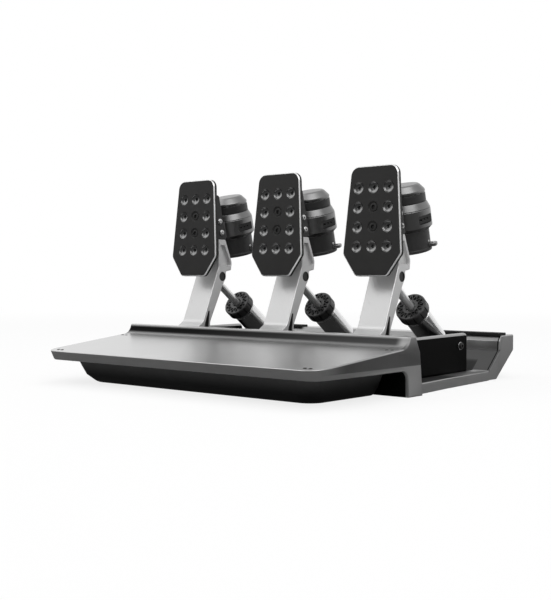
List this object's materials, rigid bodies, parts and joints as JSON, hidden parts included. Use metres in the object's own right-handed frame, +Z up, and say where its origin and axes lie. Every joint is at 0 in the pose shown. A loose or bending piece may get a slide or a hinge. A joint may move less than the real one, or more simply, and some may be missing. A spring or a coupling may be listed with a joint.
{
  "type": "sim racing pedal set",
  "caption": "Floor-standing racing simulator pedals: dimpled plates on leaning arms, each with a spring strut and a vibration reactor, on a cast base with a heel deck.",
  "frame": {"origin": "on the floor, under the middle pedal, in the plane of the pedal faces", "axes": "+X to the driver's right, +Y away from the driver, +Z up"},
  "size_m": [0.388, 0.377, 0.2272],
  "materials": {
    "deck_alloy": "bead-blasted dark grey anodised casting",
    "tray_plastic": "fine moulded grain",
    "trim_rubber": "matt black strip",
    "wall_paint": "satin black powder coat",
    "box_plastic": "fine moulded grain",
    "plate_black": "black anodised with bright machined edges",
    "bracket_black": "satin black anodised",
    "arm_alloy": "bead-blasted clear anodised",
    "reactor_plastic": "satin dark grey moulding",
    "motor_steel": "plain",
    "chrome_steel": "polished",
    "bright_steel": "bright zinc",
    "black_steel": "black oxide",
    "bush_bronze": "sintered bronze",
    "spring_steel": "oil-hardened wire"
  },
  "bodies": {
    "base": {"heel_deck": "deck_alloy", "deck_screws": "black_steel", "under_tray": "tray_plastic", "front_rail": "deck_alloy", "end_columns": "deck_alloy", "floor_pan": "deck_alloy", "rear_rail": "deck_alloy", "rear_trim": "trim_rubber", "side_walls": "wall_paint", "wall_bolt": "bright_steel", "control_box": "box_plastic", "pivot_cheeks": "wall_paint", "pivot_bushes": "bush_bronze", "position_sensors": "box_plastic", "strut_clevises": "wall_paint", "clevis_pins": "bright_steel"},
    "clutch_pedal": {"clutch_plate": "plate_black", "clutch_plate_screws": "black_steel", "clutch_bracket": "bracket_black", "clutch_bracket_bolts": "bright_steel", "clutch_arm": "arm_alloy", "clutch_pivot_shaft": "bright_steel", "clutch_reactor_can": "reactor_plastic", "clutch_reactor_cap": "reactor_plastic", "clutch_reactor_motor": "motor_steel", "clutch_rod_pin": "black_steel"},
    "clutch_push_rod": {"clutch_rod": "chrome_steel"},
    "clutch_strut": {"clutch_cylinder": "chrome_steel", "clutch_spring": "spring_steel"},
    "clutch_preload": {"clutch_preload_cap": "bracket_black"},
    "brake_pedal": {"brake_plate": "plate_black", "brake_plate_screws": "black_steel", "brake_bracket": "bracket_black", "brake_bracket_bolts": "bright_steel", "brake_arm": "arm_alloy", "brake_pivot_shaft": "bright_steel", "brake_reactor_can": "reactor_plastic", "brake_reactor_cap": "reactor_plastic", "brake_reactor_motor": "motor_steel", "brake_rod_pin": "black_steel"},
    "brake_push_rod": {"brake_rod": "chrome_steel"},
    "brake_strut": {"brake_cylinder": "chrome_steel", "brake_spring": "spring_steel"},
    "brake_preload": {"brake_preload_cap": "bracket_black"},
    "throttle_pedal": {"throttle_plate": "plate_black", "throttle_plate_screws": "black_steel", "throttle_bracket": "bracket_black", "throttle_bracket_bolts": "bright_steel", "throttle_arm": "arm_alloy", "throttle_pivot_shaft": "bright_steel", "throttle_reactor_can": "reactor_plastic", "throttle_reactor_cap": "reactor_plastic", "throttle_reactor_motor": "motor_steel", "throttle_rod_pin": "black_steel"},
    "throttle_push_rod": {"throttle_rod": "chrome_steel"},
    "throttle_strut": {"throttle_cylinder": "chrome_steel", "throttle_spring": "spring_steel"},
    "throttle_preload": {"throttle_preload_cap": "bracket_black"}
  },
  "joints": [
    {"name": "clutch_press", "type": "hinge", "parent": "base", "child": "clutch_pedal", "pos_m": [-0.124, -0.004, 0.032], "axis": [-1, 0, 0], "range_deg": [0, 16], "stiffness_Nm_per_rad": 33, "springref_deg": -7.79},
    {"name": "clutch_rod_swing", "type": "hinge", "parent": "clutch_pedal", "child": "clutch_push_rod", "pos_m": [-0.124, 0.0305, 0.114], "axis": [-1, 0, 0], "range_deg": [-15, 0]},
    {"name": "clutch_strut_slide", "type": "slide", "parent": "clutch_push_rod", "child": "clutch_strut", "axis": [0, -0.809, 0.5878], "range_m": [0, 0.025], "deforming": ["clutch_spring"]},
    {"name": "clutch_preload_turn", "type": "hinge", "parent": "clutch_strut", "child": "clutch_preload", "pos_m": [-0.124, 0.07904, 0.07873], "axis": [0, 0.809, -0.5878], "range_deg": [-180, 180]},
    {"name": "brake_press", "type": "hinge", "parent": "base", "child": "brake_pedal", "pos_m": [0, -0.004, 0.032], "axis": [-1, 0, 0], "range_deg": [0, 16], "stiffness_Nm_per_rad": 80, "springref_deg": -7.79},
    {"name": "brake_rod_swing", "type": "hinge", "parent": "brake_pedal", "child": "brake_push_rod", "pos_m": [0, 0.0305, 0.114], "axis": [-1, 0, 0], "range_deg": [-15, 0]},
    {"name": "brake_strut_slide", "type": "slide", "parent": "brake_push_rod", "child": "brake_strut", "axis": [0, -0.809, 0.5878], "range_m": [0, 0.025], "deforming": ["brake_spring"]},
    {"name": "brake_preload_turn", "type": "hinge", "parent": "brake_strut", "child": "brake_preload", "pos_m": [0, 0.07904, 0.07873], "axis": [0, 0.809, -0.5878], "range_deg": [-180, 180]},
    {"name": "throttle_press", "type": "hinge", "parent": "base", "child": "throttle_pedal", "pos_m": [0.124, -0.004, 0.032], "axis": [-1, 0, 0], "range_deg": [0, 16], "stiffness_Nm_per_rad": 22, "springref_deg": -7.79},
    {"name": "throttle_rod_swing", "type": "hinge", "parent": "throttle_pedal", "child": "throttle_push_rod", "pos_m": [0.124, 0.0305, 0.114], "axis": [-1, 0, 0], "range_deg": [-15, 0]},
    {"name": "throttle_strut_slide", "type": "slide", "parent": "throttle_push_rod", "child": "throttle_strut", "axis": [0, -0.809, 0.5878], "range_m": [0, 0.025], "deforming": ["throttle_spring"]},
    {"name": "throttle_preload_turn", "type": "hinge", "parent": "throttle_strut", "child": "throttle_preload", "pos_m": [0.124, 0.07904, 0.07873], "axis": [0, 0.809, -0.5878], "range_deg": [-180, 180]}
  ],
  "couplings": [
    {"joint": "clutch_rod_swing", "follows": "clutch_press", "ratio": -0.91},
    {"joint": "clutch_strut_slide", "follows": "clutch_press", "m_per_rad": 0.08775},
    {"joint": "brake_rod_swing", "follows": "brake_press", "ratio": -0.91},
    {"joint": "brake_strut_slide", "follows": "brake_press", "m_per_rad": 0.08775},
    {"joint": "throttle_rod_swing", "follows": "throttle_press", "ratio": -0.91},
    {"joint": "throttle_strut_slide", "follows": "throttle_press", "m_per_rad": 0.08775}
  ]
}
